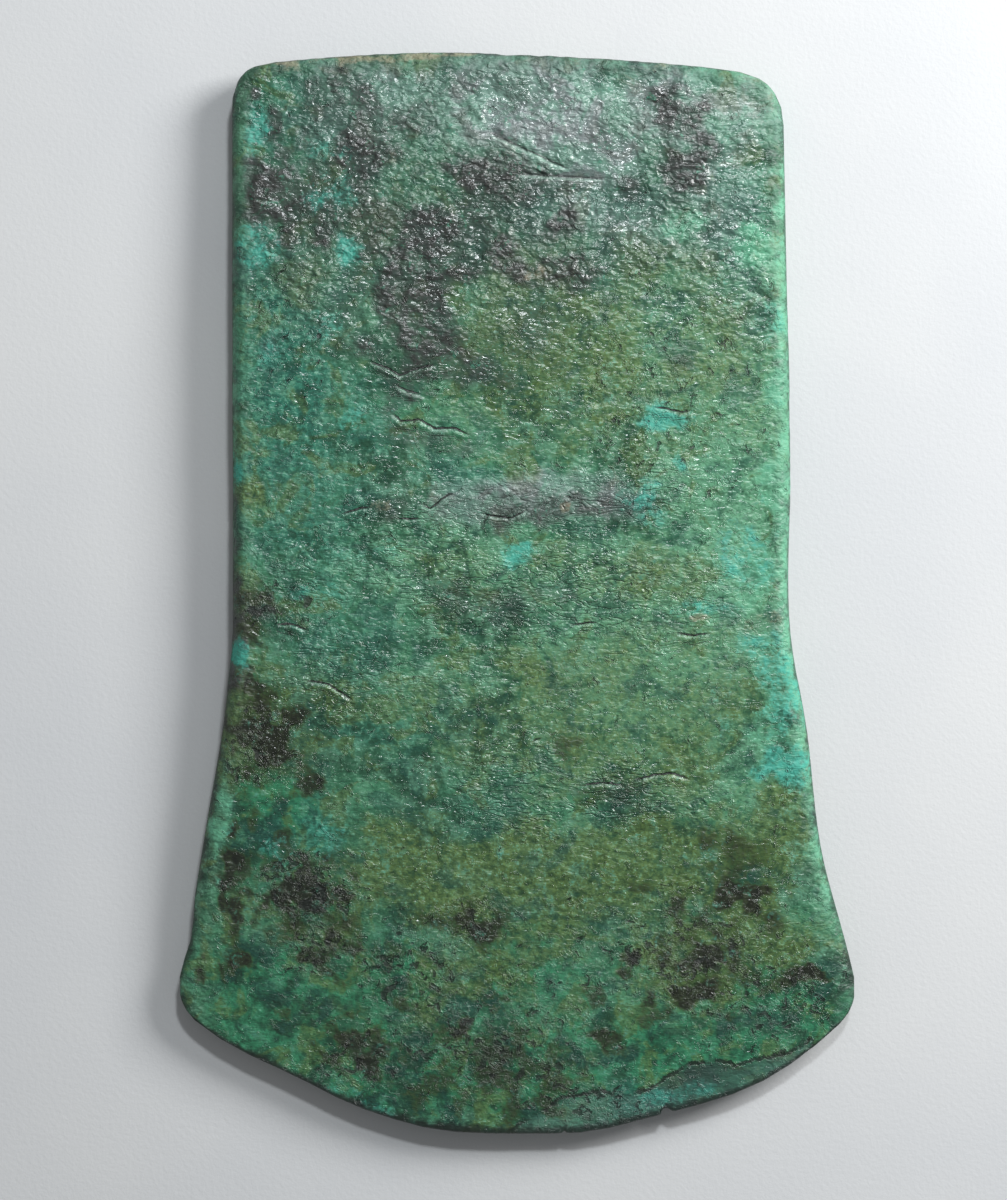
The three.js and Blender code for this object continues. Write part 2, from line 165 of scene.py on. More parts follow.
# A pale lilac-grey veil over the butt end and a band across the middle: partly the patina's colour, partly
# painted sheen where the surface faces the light
HAZE_AND_SHEEN = [
    (2, 85, 18, 8, 0, 1), (26, 85, 20, 8, 0, 0.65), (34, 74, 8, 12, 0, 0.4), (12, 76, 14, 6, 0, 0.65),
    (-20, 87, 16, 6, 0, 0.6), (14, 66, 14, 6, 0, 0.45), (3, 16, 20, 4, 0, 0.9), (-30, 82, 12, 8, 0, 0.4),
]
# Paler green mostly on the right: partly the patina's colour, partly painted light falling from the right
FRESH_AND_PAINTED_LIGHT = [
    (36, 26, 16, 34, 0, 0.9), (26, -8, 20, 18, 0, 1), (38, -32, 14, 14, 0, 0.6), (8, -10, 16, 14, 0, 0.6),
    (44, 40, 6, 14, 0, 0.4), (10, 30, 14, 10, 0, 0.3), (6, 4, 34, 8, 0, 0.7), (30, 2, 16, 12, 0, 0.9),
    (-20, 6, 12, 8, 0, 0.4),
]
TAN = [
    (-24, 94, 24, 0.7, 3, 0.6), (14, 94.8, 24, 0.7, -2, 0.6), (8.8, 15, 1.4, 0.9, 0, 0.55),
    (31.7, -4.2, 2, 0.6, 0, 0.6), (3, 56, 2.2, 1.6, 0, 0.5), (44, -5, 4, 1, 0, 0.4),
    (-21, 77, 2, 2, 0, 0.3), (-23, 15, 2, 1, 0, 0.4), (24, 92, 3, 0.6, 0, 0.4), (-40, 92, 5, 0.6, 10, 0.4),
]

# Zones of relief: where the surface is leathery, wrinkled and pitted
LEATHER = [
    (-2, 74, 46, 22, 0, 1), (-30, 60, 22, 16, 0, 0.8), (20, 66, 30, 16, 0, 0.9), (-2, 50, 40, 10, 0, 0.45),
    (40, 56, 8, 16, 0, 0.6), (-42, -52, 8, 6, 0, 0.35), (-44, -26, 6, 6, 0, 0.5),
]
WRINKLES = [
    (3, 0, 20, 7, 0, 1), (4, 15, 24, 5, 0, 0.8), (-22, 8, 16, 10, 0, 0.6), (-30, -14, 12, 8, 0, 0.6),
    (-2, -34, 10, 9, 0, 0.8), (20, -35, 12, 5, 0, 0.9), (24, -2, 16, 8, 0, 0.6), (-36, 4, 10, 6, 0, 0.5),
    (24, 18, 6, 5, 0, 0.7), (-14, -14, 14, 8, 0, 0.4),
]
PITTED = [
    (-37, -52, 9, 6, 0, 1), (-35, -62, 9, 5, 0, 1), (-18, -66, 10, 7, 0, 0.9), (-6, -80, 20, 8, 0, 0.9),
    (28, -62, 16, 8, 0, 0.8), (44, -72, 12, 8, 0, 0.8), (-44, -27, 7, 7, 0, 0.7), (-8, -57, 5, 4, 0, 0.9),
    (14, -90, 16, 4, 0, 0.8), (-42, -3, 8, 5, 0, 0.8), (10, -66, 14, 6, 0, 0.5), (-30, -84, 10, 4, 0, 0.8),
    (28, 30, 14, 16, 0, 0.4), (-40, 45, 8, 8, 0, 0.4),
]

# Cracks, each a line of points: dark along the line, partly as painted shade, with a raised lip below it that
# catches the light and carries a painted highlight
CRACKS = [
    [(-26, 40.5), (-23, 39.5), (-20.5, 38), (-18, 39), (-14, 40)],
    [(-21.5, 36.5), (-19, 35.2), (-16.5, 34.6)],
    [(-22, 31.5), (-20, 30), (-17, 30.3), (-14.5, 28.8), (-11, 28.8), (-8, 27.6)],
    [(-31, 13.7), (-27.5, 14.8), (-25, 15)],
    [(-21.5, 13), (-17, 13), (-16.5, 12.8)],
    [(-17, 15.7), (-15.2, 14.8), (-12, 17.2), (-10.6, 17.4)],
    [(-6.5, 14.2), (-4, 13.4), (-1, 13.2), (2, 14.6)],
    [(-37.3, -15.2), (-33, -15.8), (-30.3, -17.6), (-28.4, -18.9)],
    [(9.3, -5.6), (12, -5.2), (14.6, -5)],
    [(11, -33.7), (14.6, -33), (19, -33.6)],
    [(19.9, -32.8), (24, -31.7), (27, -31.4), (30.4, -32.6)],
    [(23.5, 32.6), (26, 32.2), (28.6, 31.6), (30.6, 31.9)],
    [(7.8, 17), (9, 16.9), (10, 15.8)],
    [(2, -26), (4.5, -25.2)],
    [(-42.5, -5.5), (-39, -5.4), (-36, -6.8)],
    [(27.5, -6.8), (30.5, -7.4), (34, -7)],
]
SCAR = [
    (-1.5, -95.5), (0.5, -93), (4.9, -90.9), (7.6, -88.6), (14.6, -87.4), (19, -88.2), (23.4, -87),
    (27, -84.6), (30.4, -82.6), (36, -82.1), (38.3, -83.1), (42.7, -81.7), (48, -80.8), (52, -78),
]
STROKES = [[(-5.3, 80.9), (9.3, 74.1)], [(-0.2, 73.5), (15.6, 72.5)]]
REACH = 1.6  # how far a line's distance is kept on each side of it
LINE_END = 1.5  # a line closes over this length at its ends
FADE = 0.7  # how gently a stain fades over its outline, as a share of its size

# Noise
TABLE = 256
draw = np.random.default_rng(41)
SHUFFLED = draw.permutation(TABLE)
DIRECTIONS = draw.normal(size=(TABLE, 3))
DIRECTIONS /= np.linalg.norm(DIRECTIONS, axis=1, keepdims=True)
CHANCES = draw.random((TABLE, 3))
OCTAVE_TURN = np.array([[0.36, 0.48, -0.8], [-0.8, 0.6, 0.0], [0.48, 0.64, 0.6]])
OCTAVE_STEP = 2.03  # how much smaller each octave's features are
NOISE_GAIN = 1.7  # spreads the noise to about -1 and 1
NOISE_SHIFT = 17.31  # how far a seed moves the noise
DIMPLE_SHIFT = 7.7  # how far a seed moves the dimples
PLACE_ENTRY = 91  # a dimple's place comes from the entry so many further on


def smooth(value, low, high):
    """0 below low, 1 above high and an even S between them."""
    share = np.clip((value - low) / (high - low), 0, 1)
    return share * share * (3 - 2 * share)


def entry(cells):
    """The table's entry for each whole-numbered cell."""
    found = SHUFFLED[cells[..., 0] % TABLE]
    for axis in range(1, cells.shape[-1]):
        found = SHUFFLED[(found + cells[..., axis]) % TABLE]
    return found


def single_noise(places):
    """Smooth noise with features one unit across, mostly between -1 and 1."""
    cells = np.floor(places).astype(int)
    inside = places - cells
    ease = inside ** 3 * (inside * (inside * 6 - 15) + 10)
    total = np.zeros(len(places))
    for corner in np.ndindex(2, 2, 2):
        step = np.array(corner)
        pull = (DIRECTIONS[entry(cells + step)] * (inside - step)).sum(axis=1)
        weight = np.where(step == 1, ease, 1 - ease).prod(axis=1)
        total += pull * weight
    return total * NOISE_GAIN


def noise(points, size, seed, octaves=1, puffy=False):
    """Noise with features of a size in millimetres; each octave is half as large and half as strong."""
    places = points @ OCTAVE_TURN.T / size + seed * NOISE_SHIFT
    total = 0
    strength = 1
    for _ in range(octaves):
        layer = single_noise(places)
        total = total + strength * (np.abs(layer) * 2 - 0.6 if puffy else layer)
        places = places @ OCTAVE_TURN.T * OCTAVE_STEP
        strength /= 2
    return total


def dimples(points, spacing, seed, share, size):
    """Small round hollows strewn over the plan: 1 in the middle of each and 0 outside them."""
    places = points[:, :2] / spacing + seed * DIMPLE_SHIFT
    cells = np.floor(places).astype(int)
    deepest = np.zeros(len(points))
    for step in np.ndindex(3, 3):
        cell = cells + np.array(step) - 1
        number = entry(cell)
        chance = CHANCES[number]
        centre = cell + CHANCES[(number + PLACE_ENTRY) % TABLE][:, :2]
        away = np.hypot(*(places - centre).T) * spacing
        radius = size * (0.5 + chance[:, 1])
        depth = np.clip(1 - (away / radius) ** 2, 0, 1) * (0.4 + 0.6 * chance[:, 2])
        deepest = np.maximum(deepest, np.where(chance[:, 0] < share, depth, 0))
    return deepest


def stain(points, bent, patches, seed, torn, grain):
    """How strong a stain is at each point: about half on the torn outline of a patch, full well inside it.
    The outline is torn by noise: how far, as a share of the patch's size, and how large its grain is."""
    tear = noise(points, size=grain, seed=seed, octaves=4) * torn
    amount = np.zeros(len(points))
    for x, y, half_width, half_height, turn, strength in patches:
        c, s = math.cos(math.radians(turn)), math.sin(math.radians(turn))
        dx, dy = bent[:, 0] - x, bent[:, 1] - y
        away = np.hypot((c * dx + s * dy) / half_width, (c * dy - s * dx) / half_height)
        amount = np.maximum(amount, strength * smooth(1 - away + tear, -FADE, FADE))
    return amount


def line_distance(points, line):
    """The distance to a line of points, negative below the line, and how near its ends are: 0 at an end."""
    nearest = np.full(len(points), np.inf)
    signed = np.full(len(points), REACH)
    inward = np.zeros(len(points))
    spans = [math.dist(a, b) for a, b in zip(line, line[1:])]
    whole = sum(spans)
    before = 0
    for a, b, span in zip(line, line[1:], spans):
        along = np.array([b[0] - a[0], b[1] - a[1]]) / span
        offset = points[:, :2] - np.array(a)
        place = np.clip(offset @ along, 0, span)
        away = np.hypot(*(offset - place[:, None] * along).T)
        side = np.sign(along[0] * offset[:, 1] - along[1] * offset[:, 0])
        closer = away < nearest
        nearest = np.where(closer, away, nearest)
        signed = np.where(closer, away * side, signed)
        inward = np.where(closer, np.minimum(before + place, whole - before - place), inward)
        before += span
    return signed, inward


def all_lines(points, lines):
    """The signed distance to the nearest of the lines, cut off at the reach, and how open that line is."""
    signed = np.full(len(points), REACH)
    open_share = np.zeros(len(points))
    for line in lines:
        distance, inward = line_distance(points, line)
        closer = np.abs(distance) < np.abs(signed)
        signed = np.where(closer, distance, signed)
        open_share = np.where(closer, smooth(inward, 0, LINE_END), open_share)
    return signed, open_share


# The mesh of the plate
def outline_of(node):
    """The node's outline at half its thickness, as points in order, in millimetres."""
    shape = bmesh.new()
    shape.from_mesh(node.data)
    bmesh.ops.remove_doubles(shape, verts=shape.verts, dist=1e-6)
    everything = shape.verts[:] + shape.edges[:] + shape.faces[:]
    level = (0, 0, (MIDDLE + JUST_ABOVE) * MM)
    bmesh.ops.bisect_plane(
        shape, geom=everything, dist=1e-9, plane_co=level, plane_no=(0, 0, 1), clear_inner=True
    )
    rim = [edge for edge in shape.edges if edge.is_boundary]
    start = rim[0]
    loop = [start.verts[0], start.verts[1]]
    edge = start
    while loop[-1] is not loop[0]:
        edge = next(e for e in loop[-1].link_edges if e.is_boundary and e is not edge)
        loop.append(edge.other_vert(loop[-1]))
    points = np.array([vertex.co[:2] for vertex in loop[:-1]]) / MM
    shape.free()
    return points


def four_sides(loop):
    """The loop cut at its corners: butt and edge from left to right, left and right from butt to edge."""
    x, y = loop.T
    turn = np.sum(x * np.roll(y, -1) - np.roll(x, -1) * y)
    if turn > 0:  # the sides are taken clockwise, seen from above
        loop = loop[::-1]
        x, y = loop.T
    corners = [int(np.argmax(way)) for way in (y - x, y + x, x - y, -x - y)]

    def run(first, last):
        count = (last - first) % len(loop)
        return loop[(first + np.arange(count + 1)) % len(loop)]

    top_left, top_right, bottom_right, bottom_left = corners
    return (
        run(top_left, top_right),
        run(bottom_right, bottom_left)[::-1],
        run(bottom_left, top_left)[::-1],
        run(top_right, bottom_right),
    )


def along(side, shares):
    """Points at shares of the length of a side."""
    steps = np.hypot(*np.diff(side, axis=0).T)
    places = np.concatenate([[0], np.cumsum(steps)]) / steps.sum()
    return np.stack([np.interp(shares, places, side[:, k]) for k in range(2)], axis=1)


def grid_shares(span, start_roll, cells, end_roll):
    """Shares of a span where the grid's lines are: close together in the rolls, even between the others."""
    turns = np.linspace(0, math.pi / 2, ROLL_STEPS + 1)
    start = start_roll * (1 - np.cos(turns))
    end = span - end_roll * (1 - np.cos(turns[::-1]))
    marks = [start_roll, *[mark for mark, _ in cells[:-1]], span - end_roll]
    counts = [count for _, count in cells]
    between = [np.linspace(a, b, n, endpoint=False) for a, b, n in zip(marks, marks[1:], counts)]
    return np.concatenate([start[:-1], *between, end]) / span


def rolled(inwards, size):
    """A roll's height as a share: a little squarer than a round, as a hammered rim is."""
    short = 1 - np.clip(inwards / size, 0, 1)
    return (1 - short ** ROLL_POWER) ** (1 / ROLL_POWER)


def blurred(heights, sigma, axis):
    """Heights evened out along one axis, sigma in grid steps."""
    reach = int(3 * sigma)
    steps = np.arange(-reach, reach + 1)
    weights = np.exp(-0.5 * (steps / sigma) ** 2)
    padding = [(reach, reach) if k == axis else (0, 0) for k in range(2)]
    padded = np.pad(heights, padding, mode="reflect", reflect_type="odd")
    return np.apply_along_axis(np.convolve, axis, padded, weights / weights.sum(), "valid")


def face_heights(tree, plan, across, down, facing):
    """The height of a face without its rolls, read off the solid, with its facets evened out."""
    side = across * WIDTH
    length = down * LENGTH
    heights = np.zeros(plan.shape[:2])
    from_side = np.minimum(side, WIDTH - side)
    inner_columns = np.flatnonzero(from_side >= SIDE_ROLL + ROLL_MARGIN)
    below_butt = length >= BUTT_ROLL + ROLL_MARGIN
    above_edge = length <= LENGTH - EDGE_ROLL - EDGE_MARGIN
    inner_rows = np.flatnonzero(below_butt & above_edge)
    start = Vector((0, 0, facing * CAST_HEIGHT))
    way = Vector((0, 0, -facing))
    for j in inner_rows:
        for i in inner_columns:
            x, y = plan[j, i] * MM
            hit = tree.ray_cast(start + Vector((x, y, 0)), way)
            heights[j, i] = hit[0].z / MM
    first, last = inner_columns[0], inner_columns[-1]
    heights[:, :first] = heights[:, first:first + 1]
    heights[:, last + 1:] = heights[:, last:last + 1]
    top, bottom = inner_rows[0], inner_rows[-1]
    before = bottom - SLOPE_ROWS
    slope = (heights[bottom] - heights[before]) / (length[bottom] - length[before])
    heights[:top] = heights[top]
    heights[bottom + 1:] = heights[bottom] + slope * (length[bottom + 1:, None] - length[bottom])
    step = WIDTH / (len(across) - 2 * ROLL_STEPS)
    heights = blurred(heights, FORM_BLUR / step, 1)
    return blurred(heights, FORM_BLUR / step, 0)


def coons(loop, across, down):
    """Plan positions of the grid, which fills the outline evenly between its four sides."""
    butt, edge, left, right = four_sides(loop)
    top, bottom = along(butt, across), along(edge, across)
    west, east = along(left, down), along(right, down)
    s, t = across[None, :, None], down[:, None, None]
    lengthways = (1 - t) * top[None] + t * bottom[None]
    sideways = (1 - s) * west[:, None] + s * east[:, None]
    corners = (1 - t) * ((1 - s) * top[0] + s * top[-1]) + t * ((1 - s) * bottom[0] + s * bottom[-1])
    return lengthways + sideways - corners


def unit(vectors):
    """A grid of directions, each made one long."""
    return vectors / np.maximum(np.linalg.norm(vectors, axis=2, keepdims=True), 1e-9)


def normals_of(places, facing):
    """Outward directions of a grid of places on the upper (1) or the lower (-1) face."""
    crossways = np.gradient(places, axis=1)
    downwards = np.gradient(places, axis=0)
    return unit(np.cross(downwards, crossways) * facing)


def build_surface():
    """Places, outward directions and distances from the rims of the two grids, which share their rim."""
    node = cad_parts["axe_head"]
    tree = BVHTree.FromPolygons(
        [vertex.co for vertex in node.data.vertices], [face.vertices for face in node.data.polygons]
    )
    across = grid_shares(WIDTH, SIDE_ROLL, [(None, CELLS_ACROSS)], SIDE_ROLL)
    down = grid_shares(LENGTH, BUTT_ROLL, [(FINE_LENGTH, CELLS_FINE), (None, CELLS_COARSE)], EDGE_ROLL)
    whole_plan = coons(outline_of(node), across, down)
    grids = []
    for facing, stride in ((1, 1), (-1, 2)):
        columns, rows = across[::stride], down[::stride]
        plan = whole_plan[::stride, ::stride]
        side = np.minimum(columns, 1 - columns)[None] * WIDTH
        length = rows[:, None] * LENGTH
        rolls = rolled(side, SIDE_ROLL) * rolled(length, BUTT_ROLL) * rolled(LENGTH - length, EDGE_ROLL)
        heights = MIDDLE + (face_heights(tree, plan, columns, rows, facing) - MIDDLE) * rolls
        places = np.concatenate([plan, heights[..., None]], axis=2)
        rims = np.stack([np.minimum(side, length), LENGTH - length + 0 * side], axis=2)
        out = normals_of(places, facing)
        for rim in ((0, slice(None)), (-1, slice(None)), (slice(None), 0), (slice(None), -1)):
            out[rim][..., 2] = 0
        grids.append((places, unit(out), rims))
    return grids


def ridge(distance, width, middle=0.0):
    """1 where a distance is at the middle, fading to 0 over a width."""
    return np.exp(-((distance - middle) / width) ** 2)


def relief(points, zones, thickness):
    """How far the surface stands out of the plate's clean form at each point, in millimetres."""
    wrinkled = points * WRINKLE_STRETCH
    pitted = 0.15 + zones["pitted"]
    parts = {
        "swell": noise(points, size=26, seed=3, octaves=2),
        "low_swell": noise(points, size=9, seed=4, octaves=2),
        "leather": zones["leather"] * noise(points, size=3.3, seed=5, octaves=2, puffy=True),
        "fine": noise(points, size=2.2, seed=6, octaves=2),
        "fold": zones["wrinkles"] * smooth(noise(wrinkled, size=2.6, seed=7, octaves=2), 0.15, 0.7),
        "pit": pitted * dimples(points, spacing=2.4, seed=8, share=0.5, size=0.75),
        "large_pit": dimples(points, spacing=9, seed=9, share=0.4, size=1.1),
        "umber": smooth(zones["umber"], 0.35, 0.65),
        "dusk": smooth(zones["dusk"], 0.4, 0.7),
        "crack": zones["crack_open"] * ridge(zones["crack"], width=0.35),
        "crack_lip": zones["crack_open"] * ridge(zones["crack"], width=0.5, middle=-0.7),
        "stroke": zones["stroke_open"] * ridge(zones["stroke"], width=0.5),
        "scar": zones["scar"],
    }
    total = sum(RELIEF[name] * part for name, part in parts.items())
    return total * smooth(thickness, 0, FULL_BODY)


# Each zone's patches, how far its outline is torn, the grain of the tear, and its share of the lower face
ZONES = {
    "dusk": (DUSK, 0.75, 6, 0.81),
    "umber": (UMBER, 1.2, 3.6, 0.63),
    "olive": (OLIVE, 0.4, 11, 0.9),
    "teal": (TEAL, 0.4, 11, 0.9),
    "enamel": (ENAMEL, 0.4, 11, 0.9),
    "powder": (POWDER, 0.6, 4, 0.63),
    "mint_and_rim_light": (MINT_AND_RIM_LIGHT, 0.75, 6, 0.36),
    "haze_and_sheen": (HAZE_AND_SHEEN, 0.4, 11, 0.54),
    "fresh_and_painted_light": (FRESH_AND_PAINTED_LIGHT, 0.4, 11, 0.54),
    "tan": (TAN, 0.75, 6, 0.18),
    "leather": (LEATHER, 0.4, 11, 0.9),
    "wrinkles": (WRINKLES, 0.4, 11, 0.54),
    "pitted": (PITTED, 0.4, 11, 0.9),
}
DRIFT = 1.1  # how far noise carries the patches off their places
HIDDEN_GRAIN = 24  # the size of the lower face's patches


def zones_of(points, facing):
    """Every zone and stain at each point. The lower face, which no photo shows, has plainer ones."""
    upper = smooth(facing, -0.45, 0.25)  # the upper face's stains run on over the rims
    drift = np.stack([noise(points, size=7, seed=seed, octaves=3) for seed in (11, 12)], axis=1)
    bent = points[:, :2] + drift * DRIFT
    zones = {}
    for seed, (name, (patches, torn, grain, beneath)) in enumerate(ZONES.items(), start=20):
        shown = stain(points, bent, patches, seed, torn, grain)
        hidden = smooth(noise(points, size=HIDDEN_GRAIN, seed=seed + 40, octaves=4), 0.1, 0.9) * beneath
        zones[name] = upper * shown + (1 - upper) * np.clip(hidden, 0, 1)
    for name, lines in (("crack", CRACKS), ("stroke", STROKES)):
        zones[name], opened = all_lines(points, lines)
        zones[name + "_open"] = opened * (facing > 0.3)
    scar_line, _ = line_distance(points, SCAR)
    beyond = (points[:, 0] > SCAR[0][0]) & (points[:, 0] < SCAR[-1][0])
    below = np.where(beyond, -scar_line, -REACH)
    zones["scar"] = smooth(below, -0.2, 0.8) * (facing > 0)
    zones["scar_line"] = np.clip(np.where(beyond, scar_line, REACH), -REACH, REACH)
    return zones


def faces_between(upper_number, lower_number):
    """The faces of both grids, from the numbers of their points. The lower grid is half as fine."""
    a, b = upper_number[:-1, :-1], upper_number[:-1, 1:]
    c, d = upper_number[1:, 1:], upper_number[1:, :-1]
    faces = np.stack([a, d, c, b], axis=2).reshape(-1, 4).tolist()
    last_row, last_column = lower_number.shape[0] - 2, lower_number.shape[1] - 2
    for j in range(last_row + 1):
        for i in range(last_column + 1):
            ring = [lower_number[j, i]]
            if j == 0:
                ring.append(upper_number[0, 2 * i + 1])
            ring.append(lower_number[j, i + 1])
            if i == last_column:
                ring.append(upper_number[2 * j + 1, -1])
            ring.append(lower_number[j + 1, i + 1])
            if j == last_row:
                ring.append(upper_number[-1, 2 * i + 1])
            ring.append(lower_number[j + 1, i])
            if i == 0:
                ring.append(upper_number[2 * j + 1, 0])
            faces.append([int(number) for number in ring])
    return faces


def plate_mesh():
    """The whole plate as one closed mesh with its stains as attributes."""
    (upper, upper_out, upper_rims), (lower, lower_out, lower_rims) = build_surface()
    rows, columns = upper.shape[:2]
    upper_number = np.arange(rows * columns).reshape(rows, columns)
    lower_number = upper_number[::2, ::2].copy()
    inner = lower_number[1:-1, 1:-1]
    inner[...] = rows * columns + np.arange(inner.size).reshape(inner.shape)
    places = np.concatenate([upper.reshape(-1, 3), lower[1:-1, 1:-1].reshape(-1, 3)])
    out = np.concatenate([upper_out.reshape(-1, 3), lower_out[1:-1, 1:-1].reshape(-1, 3)])
    rims = np.concatenate([upper_rims.reshape(-1, 2), lower_rims[1:-1, 1:-1].reshape(-1, 2)])
    facing = np.concatenate([np.full(rows * columns, 1.0), np.full(inner.size, -1.0)])
    facing *= np.abs(out[:, 2])
    zones = zones_of(places, facing)
    raised = relief(places, zones, np.abs(places[:, 2] - MIDDLE) + THIN_BODY)
    shifted = places + out * raised[:, None]
    shifted[:, 2] = np.maximum(shifted[:, 2], 0)

    mesh = bpy.data.meshes.new("axe_head_patina")
    mesh.from_pydata((shifted * MM).tolist(), [], faces_between(upper_number, lower_number))
    mesh.validate()
    mesh.shade_smooth()
    zones["height"] = raised
    zones["side"], zones["edge"] = np.clip(rims.T, 0, RIM_REACH)
    for name, values in zones.items():
        attribute = mesh.attributes.new(name, "FLOAT", "POINT")
        attribute.data.foreach_set("value", values.astype(np.float32))
    return mesh


# Materials
def linear(red, green, blue):
    """A colour that is given as it shows on screen, 0 to 255, as the shader takes it."""
    shares = [channel / 255 for channel in (red, green, blue)]
    values = [c / 12.92 if c <= 0.04045 else ((c + 0.055) / 1.055) ** 2.4 for c in shares]
    return (*values, 1)


class Shading:
    """Short names for the nodes of one material. Sizes are in millimetres on the object."""

    def __init__(self, name):
        self.material = bpy.data.materials.new(name)
        self.material.use_nodes = True
        self.nodes = self.material.node_tree.nodes
        self.links = self.material.node_tree.links
        self.shader = self.nodes["Principled BSDF"]
        coordinates = self.nodes.new("ShaderNodeTexCoord")
        scaled = self.nodes.new("ShaderNodeVectorMath")
        scaled.operation = "SCALE"
        scaled.inputs["Scale"].default_value = 1 / MM
        self.links.new(coordinates.outputs["Object"], scaled.inputs[0])
        self.place = scaled.outputs[0]

    def put(self, value, socket):
        """Sets a socket to a number or a colour, or links another node to it."""
        if isinstance(value, bpy.types.NodeSocket):
            self.links.new(value, socket)
        else:
            socket.default_value = value

    def math(self, operation, first, second=0.0):
        node = self.nodes.new("ShaderNodeMath")
        node.operation = operation
        self.put(first, node.inputs[0])
        self.put(second, node.inputs[1])
        return node.outputs[0]

    def add(self, *values):
        total = values[0]
        for value in values[1:]:
            total = self.math("ADD", total, value)
        return total

    def times(self, *values):
        total = values[0]
        for value in values[1:]:
            total = self.math("MULTIPLY", total, value)
        return total

    def ramp(self, value, low, high, to_low=0.0, to_high=1.0):
        """Goes evenly from to_low to to_high while the value goes from low to high."""
        node = self.nodes.new("ShaderNodeMapRange")
        node.interpolation_type = "SMOOTHSTEP"
        self.put(value, node.inputs["Value"])
        self.put(low, node.inputs["From Min"])
        self.put(high, node.inputs["From Max"])
        self.put(to_low, node.inputs["To Min"])
        self.put(to_high, node.inputs["To Max"])
        return node.outputs["Result"]

    def mix(self, share, first, second):
        """The first colour with a share of the second."""
        node = self.nodes.new("ShaderNodeMix")
        node.data_type = "RGBA"
        self.put(share, node.inputs["Factor"])
        self.put(first, node.inputs["A"])
        self.put(second, node.inputs["B"])
        return node.outputs["Result"]

    def over(self, under, colour, where, low, high, *shares):
        """A colour laid over another while a value goes from low to high, times any shares."""
        return self.mix(self.times(self.ramp(where, low, high), *shares), under, colour)

    def attribute(self, name):
        node = self.nodes.new("ShaderNodeAttribute")
        node.attribute_name = name
        return node.outputs["Fac"]

    def stretched(self, x, y, z=1.0):
        """The place with its axes scaled: below 1, the features of a noise come out longer that way."""
        node = self.nodes.new("ShaderNodeVectorMath")
        node.operation = "MULTIPLY"
        self.links.new(self.place, node.inputs[0])
        node.inputs[1].default_value = (x, y, z)
        return node.outputs[0]

    def noise(self, size, detail=3.0, roughness=0.55, distortion=0.0, place=None):
        node = self.nodes.new("ShaderNodeTexNoise")
        self.links.new(place or self.place, node.inputs["Vector"])
        node.inputs["Scale"].default_value = 1 / size
        node.inputs["Detail"].default_value = detail
        node.inputs["Roughness"].default_value = roughness
        node.inputs["Distortion"].default_value = distortion
        return node.outputs["Fac"]

    def bump(self, height):
        """Relief from a height in millimetres."""
        node = self.nodes.new("ShaderNodeBump")
        node.inputs["Strength"].default_value = 1.0
        node.inputs["Distance"].default_value = MM
        self.links.new(height, node.inputs["Height"])
        return node.outputs["Normal"]


MALACHITE_DEEP = linear(29, 70, 50)
MALACHITE = linear(66, 132, 96)
MALACHITE_PALE = linear(116, 172, 138)
SEA_DEEP = linear(26, 78, 68)
SEA = linear(56, 142, 118)
OLIVE_DEEP = linear(50, 74, 36)
OLIVE_GREEN = linear(104, 132, 70)
EMERALD = linear(48, 136, 96)
EMERALD_DEEP = linear(5, 38, 26)
# paler green of the right side, partly painted light
FRESH_GREEN_AND_PAINTED_LIGHT = linear(104, 164, 126)
LICHEN_GREY = linear(68, 88, 84)
# the pale veil's colours, partly painted sheen
HAZE_AND_SHEEN_GREEN = linear(134, 170, 156)
HAZE_AND_SHEEN_LILAC = linear(148, 152, 158)
DUSK_GREY = linear(62, 66, 64)
DUSK_BROWN = linear(40, 37, 36)
HALO_OLIVE = linear(62, 84, 40)
UMBER_DARK = linear(20, 20, 15)
UMBER_GREEN = linear(46, 54, 32)
TURQUOISE = linear(58, 168, 148)
# pale green of the rims, partly painted light where the rolled rims catch it
MINT_GREEN_AND_RIM_LIGHT = linear(98, 172, 136)
TAN_PALE = linear(146, 134, 110)
SCAR_GREY = linear(84, 126, 114)
SCAR_LILAC = linear(82, 100, 102)
# darkest colour: dark corrosion in the pits and painted shade in hollows, grooves and along the rims
PIT_AND_SHADE_DARK = linear(12, 22, 18)
# painted highlight on the crack lips and beside the stroke grooves, and partly on the curled ridges
HIGHLIGHT_PALE = linear(176, 204, 190)

# How dark each kind of mark is made, how much painted highlight it gets, and its height in the bump in
# millimetres
# the darkening is dark corrosion in the pits, painted shade in the cracks, stroke grooves, creases, sunk
# hollows and the flaked strip's step, and painted shadow along the rims
DIRT_AND_SHADE_SHARES = {
    "pits": 0.8, "cracks": 1.0, "scar": 0.85, "stroke_shade": 0.8, "sunk": 0.6, "edge": 0.85, "side": 0.6,
    "crease_shade": 0.35,
}
# painted highlights on the crack lips and beside the stroke grooves; the curls are pale ridges, partly
# painted highlight
PAINTED_HIGHLIGHT_SHARES = {"lip_highlights": 0.4, "stroke_highlights": 0.35, "curls": 0.12}
MARK_HEIGHTS = {
    "folds": 0.16, "wrinkles": 0.5, "lips": 0.16, "curls": 0.08, "pit_lips": 0.1, "pits": -0.25,
    "cracks": -0.1, "scar": -0.12,
}
WAXY_GLOSS = 0.8
# The bump's heights on plain and on leathery ground
BUMP_HEIGHTS = (0.16, 0.38)
SWELL_HEIGHTS = (0.3, 0.75)
PEBBLE_HEIGHTS = (0.1, 0.4)


